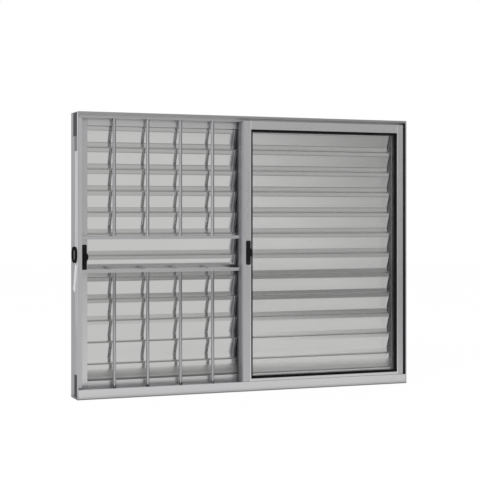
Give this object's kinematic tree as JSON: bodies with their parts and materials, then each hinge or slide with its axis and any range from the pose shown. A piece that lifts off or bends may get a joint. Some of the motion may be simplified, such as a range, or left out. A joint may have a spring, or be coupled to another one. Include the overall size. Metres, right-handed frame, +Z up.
{
  "type": "sliding louvre window with glass leaf and safety grille",
  "caption": "Aluminium sliding window: glass leaf, fixed and sliding louvre leaves, and a round-bar safety grille over the opening half.",
  "frame": {"origin": "centre of the underside of the sill, at half the depth of the frame", "axes": "+Z up, -Y towards the room, +X to the right seen from the room"},
  "size_m": [1.283, 0.097, 1],
  "materials": {
    "frame_aluminium": "satin anodised",
    "leaf_aluminium": "satin anodised",
    "slat_aluminium": "satin anodised",
    "grille_aluminium": "satin anodised",
    "anchor_strip": "bright mill",
    "clear_glass": "clear float glass",
    "black_gasket": "matt black",
    "black_plastic": "moulded, fine grain",
    "roller_plastic": "moulded"
  },
  "bodies": {
    "root": {"fixed_shutter_bottom_rail": "leaf_aluminium", "fixed_shutter_slats": "slat_aluminium", "fixed_shutter_stile_left": "leaf_aluminium", "fixed_shutter_stile_right": "leaf_aluminium", "fixed_shutter_top_rail": "leaf_aluminium", "frame_head": "frame_aluminium", "frame_jamb_left": "frame_aluminium", "frame_jamb_right": "frame_aluminium", "frame_sill": "frame_aluminium", "glass_leaf_bottom_rail": "leaf_aluminium", "glass_leaf_gasket": "black_gasket", "glass_leaf_lock_shell": "black_plastic", "glass_leaf_lock_thumb": "black_plastic", "glass_leaf_pane": "clear_glass", "glass_leaf_rollers": "roller_plastic", "glass_leaf_stile_left": "leaf_aluminium", "glass_leaf_stile_right": "leaf_aluminium", "glass_leaf_top_rail": "leaf_aluminium", "grille_bar_lower_1": "grille_aluminium", "grille_bar_lower_2": "grille_aluminium", "grille_bar_lower_3": "grille_aluminium", "grille_bar_lower_4": "grille_aluminium", "grille_bar_upper_1": "grille_aluminium", "grille_bar_upper_2": "grille_aluminium", "grille_bar_upper_3": "grille_aluminium", "grille_bar_upper_4": "grille_aluminium", "grille_head_rail": "grille_aluminium", "grille_lower_rail": "grille_aluminium", "grille_sill_rail": "grille_aluminium", "grille_upper_rail": "grille_aluminium", "lock_keeper_glass": "black_plastic", "lock_keeper_shutter": "black_plastic", "sliding_shutter_bottom_rail": "leaf_aluminium", "sliding_shutter_lock_shell": "black_plastic", "sliding_shutter_lock_thumb": "black_plastic", "sliding_shutter_rollers": "roller_plastic", "sliding_shutter_slats": "slat_aluminium", "sliding_shutter_stile_left": "leaf_aluminium", "sliding_shutter_stile_right": "leaf_aluminium", "sliding_shutter_top_rail": "leaf_aluminium", "wall_anchor_left": "anchor_strip", "wall_anchor_right": "anchor_strip"}
  },
  "joints": []
}
